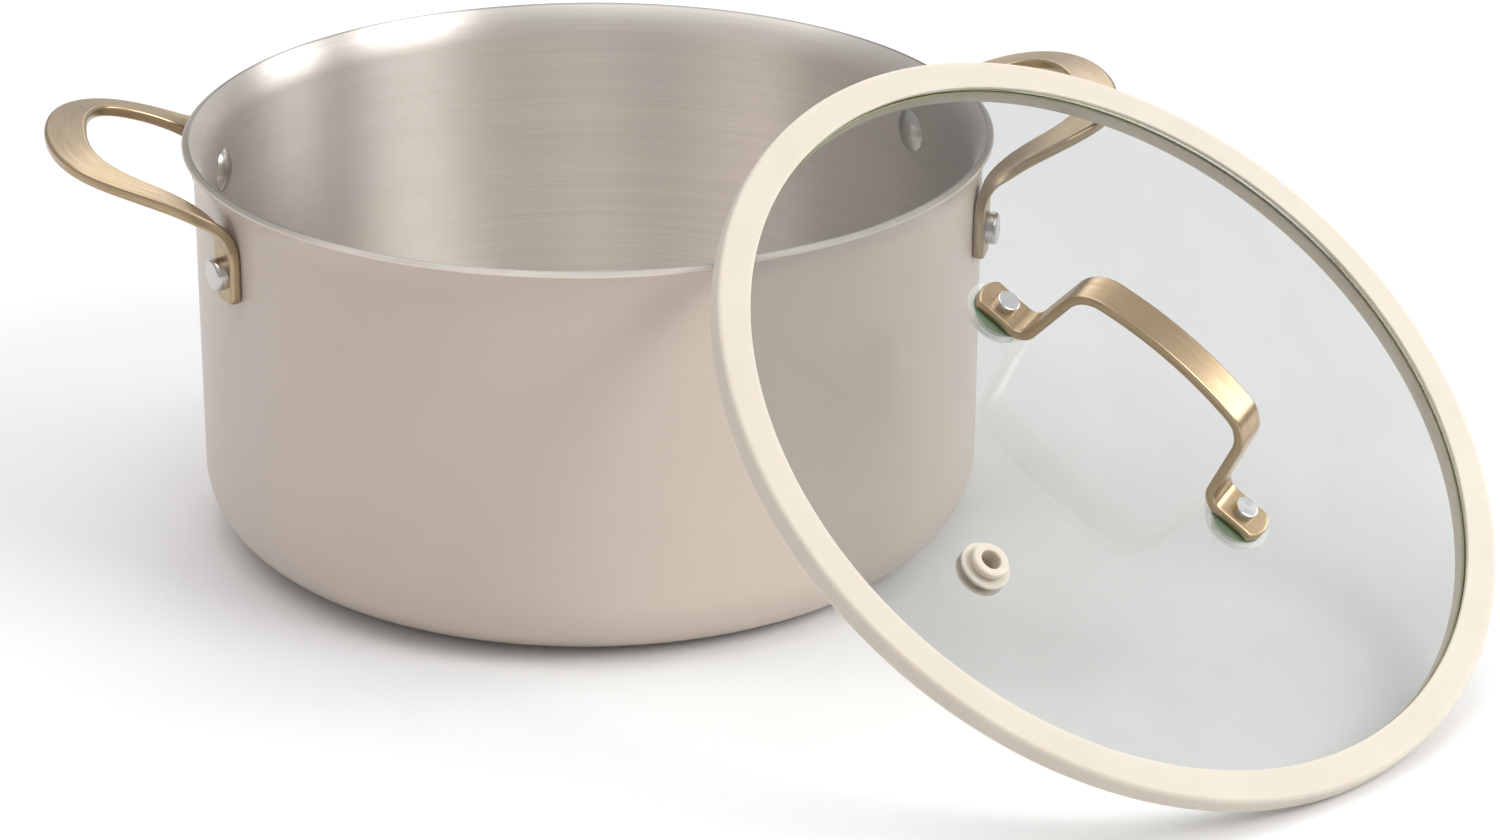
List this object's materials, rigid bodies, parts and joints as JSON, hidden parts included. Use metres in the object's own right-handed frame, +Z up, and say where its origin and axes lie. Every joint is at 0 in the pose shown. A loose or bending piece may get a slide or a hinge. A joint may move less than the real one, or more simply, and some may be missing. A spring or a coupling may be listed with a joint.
{
  "type": "two-handled casserole with glass lid",
  "caption": "Round deep pan with a cream coat, flared steel rim and riveted gold loop handles; its flat glass lid with silicone ring and strap handle leans against the side.",
  "frame": {"origin": "centre of the pot's flat base, on the surface it stands on", "axes": "+Z up along the pot's axis; the two loop handles lie along X; the lid leans on the side of +X and -Y"},
  "size_m": [0.4239, 0.3801, 0.1619],
  "materials": {
    "cream_coat": "satin ceramic-like coat",
    "aluminium_core": "bare, sealed inside the wall",
    "brushed_steel": "fine turned brushing",
    "rivet_steel": "satin",
    "stud_steel": "faced on a lathe",
    "champagne_gold": "champagne-gold, satin brushed",
    "cream_silicone": "matte silicone",
    "clear_silicone": "clear silicone",
    "green_silicone": "matte sage-green silicone",
    "lid_glass": "clear tempered glass, faint green edge"
  },
  "bodies": {
    "pot": {"outer_shell": "cream_coat", "aluminium_core": "aluminium_core", "inner_liner": "brushed_steel", "handle_left": "champagne_gold", "handle_right": "champagne_gold", "rivet_left_front": "rivet_steel", "rivet_left_rear": "rivet_steel", "rivet_right_front": "rivet_steel", "rivet_right_rear": "rivet_steel"},
    "lid": {"lid_glass": "lid_glass", "lid_rim": "cream_silicone", "lid_handle": "champagne_gold", "lid_stud_left": "stud_steel", "lid_stud_right": "stud_steel", "clear_washer_left": "clear_silicone", "clear_washer_right": "clear_silicone", "green_pad_left": "green_silicone", "green_pad_right": "green_silicone", "hole_bush_left": "clear_silicone", "hole_bush_right": "clear_silicone", "under_washer_left": "clear_silicone", "under_washer_right": "clear_silicone", "vent_grommet": "cream_silicone"}
  },
  "joints": [
    {"name": "lid_lift", "type": "slide", "parent": "pot", "child": "lid", "axis": [0, 0, 1], "range_m": [0, 0.16]}
  ]
}
